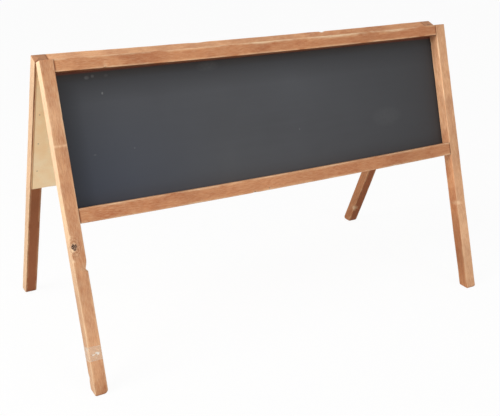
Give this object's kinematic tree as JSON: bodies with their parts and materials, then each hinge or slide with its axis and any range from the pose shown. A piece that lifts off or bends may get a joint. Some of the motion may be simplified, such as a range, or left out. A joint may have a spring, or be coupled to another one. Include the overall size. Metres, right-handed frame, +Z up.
{
  "type": "sandwich board",
  "caption": "Long, low wooden A-frame: two blackboard panels in butt-jointed timber frames with legs, hinged along the top so that it stands open and folds flat.",
  "frame": {"origin": "centre of the floor footprint, under the hinge line", "axes": "+X to the right along the hinges as seen from the front, +Y to the rear frame, +Z up"},
  "size_m": [1.2202, 0.5998, 0.7404],
  "materials": {
    "timber": "planed softwood with a thin warm brown stain, satin",
    "blackboard": "fibreboard, matte blackboard paint on the outer face, raw tan on the inner face and edges",
    "dowel_wood": "raw beech dowel",
    "nail_steel": "dull bright wire",
    "hinge_steel": "zinc plated, satin",
    "tape": "clear adhesive tape, scuffed white"
  },
  "bodies": {
    "front_frame": {"front_left_stile": "timber", "front_right_stile": "timber", "front_top_rail": "timber", "front_bottom_rail": "timber", "front_board": "blackboard", "front_board_nails": "nail_steel", "front_top_dowels": "dowel_wood", "front_bottom_dowels": "dowel_wood", "front_hinge_screws": "hinge_steel", "left_hinge_front_leaf": "hinge_steel", "left_hinge_pin": "hinge_steel", "middle_hinge_front_leaf": "hinge_steel", "middle_hinge_pin": "hinge_steel", "right_hinge_front_leaf": "hinge_steel", "right_hinge_pin": "hinge_steel", "leg_tape": "tape"},
    "rear_frame": {"rear_left_stile": "timber", "rear_right_stile": "timber", "rear_top_rail": "timber", "rear_bottom_rail": "timber", "rear_board": "blackboard", "rear_board_nails": "nail_steel", "rear_top_dowels": "dowel_wood", "rear_bottom_dowels": "dowel_wood", "rear_hinge_screws": "hinge_steel", "left_hinge_rear_leaf": "hinge_steel", "middle_hinge_rear_leaf": "hinge_steel", "right_hinge_rear_leaf": "hinge_steel"}
  },
  "joints": [
    {"name": "fold", "type": "hinge", "parent": "front_frame", "child": "rear_frame", "pos_m": [0, 0, 0.71967], "axis": [-1, 0, 0], "range_deg": [0, 40]}
  ]
}
